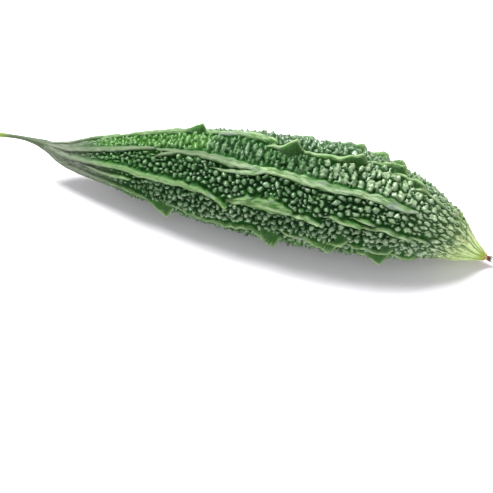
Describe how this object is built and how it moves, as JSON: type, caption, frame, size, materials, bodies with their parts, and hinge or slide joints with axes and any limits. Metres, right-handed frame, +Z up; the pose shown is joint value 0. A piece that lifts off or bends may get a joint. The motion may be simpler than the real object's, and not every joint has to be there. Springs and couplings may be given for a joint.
{
  "type": "bitter gourd",
  "caption": "Fresh bitter gourd lying on its side, with long toothed ridges, warty skin between them, a cut stalk and the dried flower left at the tip.",
  "frame": {"origin": "on the surface that the gourd lies on, under the middle of its box", "axes": "+X along the gourd from the stalk to the tip, +Z up, -Y to the side that is seen first"},
  "size_m": [0.2666, 0.0598, 0.0563],
  "materials": {
    "fruit_skin": "waxy, satin to glossy green skin, paler on the ridges and at the tip, darker in the valleys",
    "stalk_skin": "matt grey-green ribbed stalk, yellow-green at the cut",
    "dried_petals": "matt brown dried petals"
  },
  "bodies": {
    "root": {"fruit": "fruit_skin", "stalk": "stalk_skin", "dried_flower": "dried_petals"}
  },
  "joints": []
}
